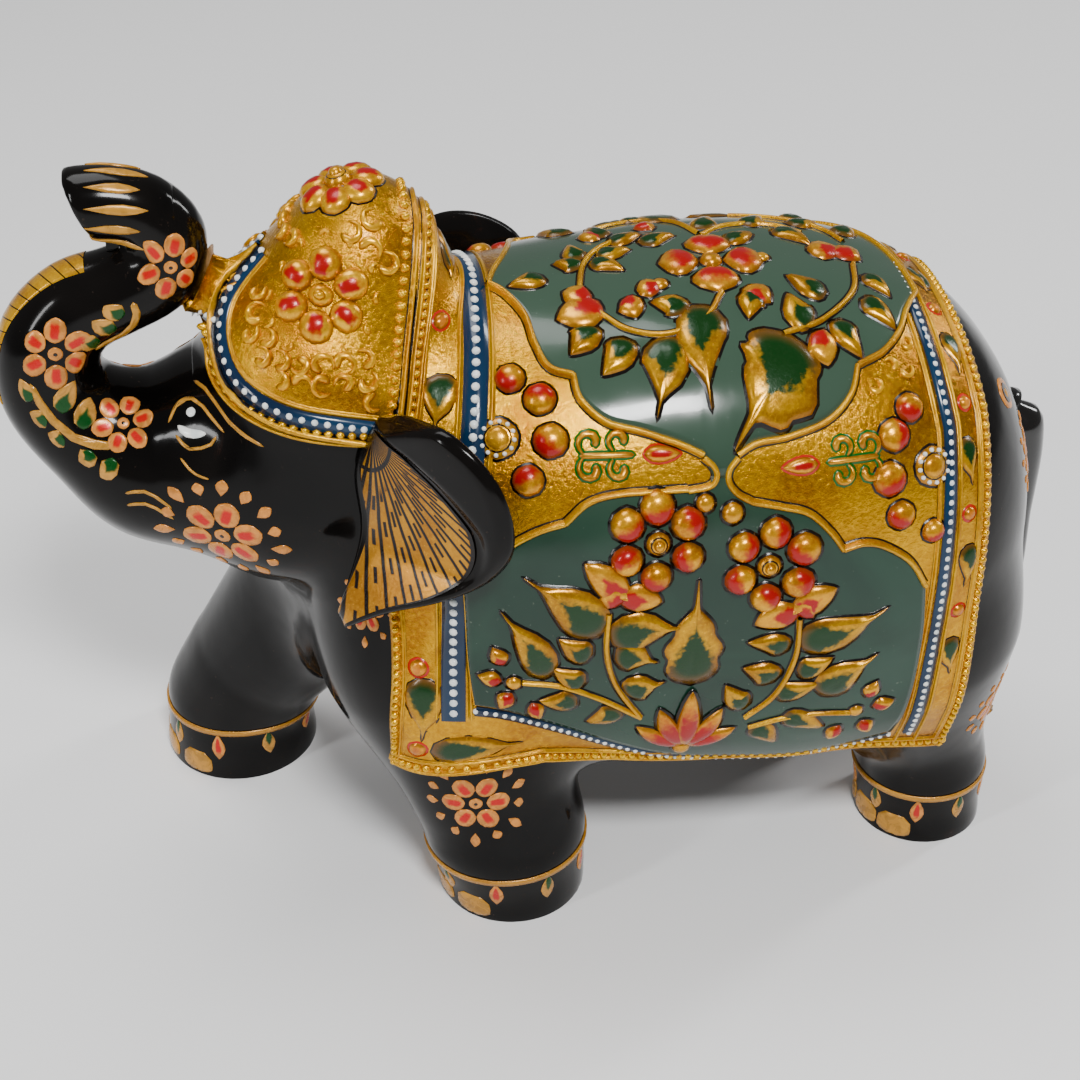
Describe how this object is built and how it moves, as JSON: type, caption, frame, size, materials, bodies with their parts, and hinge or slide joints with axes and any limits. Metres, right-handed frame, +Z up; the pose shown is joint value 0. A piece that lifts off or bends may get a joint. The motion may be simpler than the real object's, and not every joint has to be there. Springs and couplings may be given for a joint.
{
  "type": "carved elephant figurine",
  "caption": "Carved wooden elephant with raised trunk, gilded relief caparison, head cap and painted flowers, standing on four flat soles.",
  "frame": {"origin": "middle of the whole object's box on the surface it stands on", "axes": "+Z up, -X towards the trunk and +X towards the tail, -Y the elephant's left side"},
  "size_m": [0.201, 0.1006, 0.1522],
  "materials": {
    "black_lacquer": "gloss black lacquer over carved wood",
    "dowel_wood": "bare hardwood",
    "gold_leaf": "gold leaf over raised plaster, toned and varnished",
    "green_enamel": "gloss dark green enamel paint",
    "blue_enamel": "gloss dark blue enamel paint with white dots",
    "red_gold_relief": "gilded relief tinted red",
    "white_enamel": "gloss white enamel paint"
  },
  "bodies": {
    "root": {"body": "black_lacquer", "trunk": "black_lacquer", "ear_left": "black_lacquer", "ear_right": "black_lacquer", "tail": "black_lacquer", "trunk_dowel": "dowel_wood", "ear_dowel_left": "dowel_wood", "ear_dowel_right": "dowel_wood", "tail_dowel": "dowel_wood", "caparison": "gold_leaf", "saddle_frame": "gold_leaf", "side_frame_left": "gold_leaf", "side_frame_right": "gold_leaf", "hem_cord_left": "gold_leaf", "hem_cord_right": "gold_leaf", "head_cap": "gold_leaf", "cap_trim": "gold_leaf", "centre_leaf_left": "gold_leaf", "centre_leaf_right": "gold_leaf", "anklet_front_left": "gold_leaf", "anklet_front_right": "gold_leaf", "anklet_hind_left": "gold_leaf", "anklet_hind_right": "gold_leaf", "saddle_panel": "green_enamel", "side_panel_left": "green_enamel", "side_panel_right": "green_enamel", "front_band": "blue_enamel", "rear_band": "blue_enamel", "cap_band": "blue_enamel", "saddle_blossom": "red_gold_relief", "crown_rosette": "red_gold_relief", "front_rosette_left": "red_gold_relief", "front_rosette_right": "red_gold_relief", "rear_rosette_left": "red_gold_relief", "rear_rosette_right": "red_gold_relief", "lotus_left": "red_gold_relief", "lotus_right": "red_gold_relief", "front_boss_left": "red_gold_relief", "front_boss_right": "red_gold_relief", "rear_boss_left": "red_gold_relief", "rear_boss_right": "red_gold_relief", "cap_rosette_left": "red_gold_relief", "cap_rosette_right": "red_gold_relief", "eye_left": "white_enamel", "eye_right": "white_enamel"}
  },
  "joints": []
}
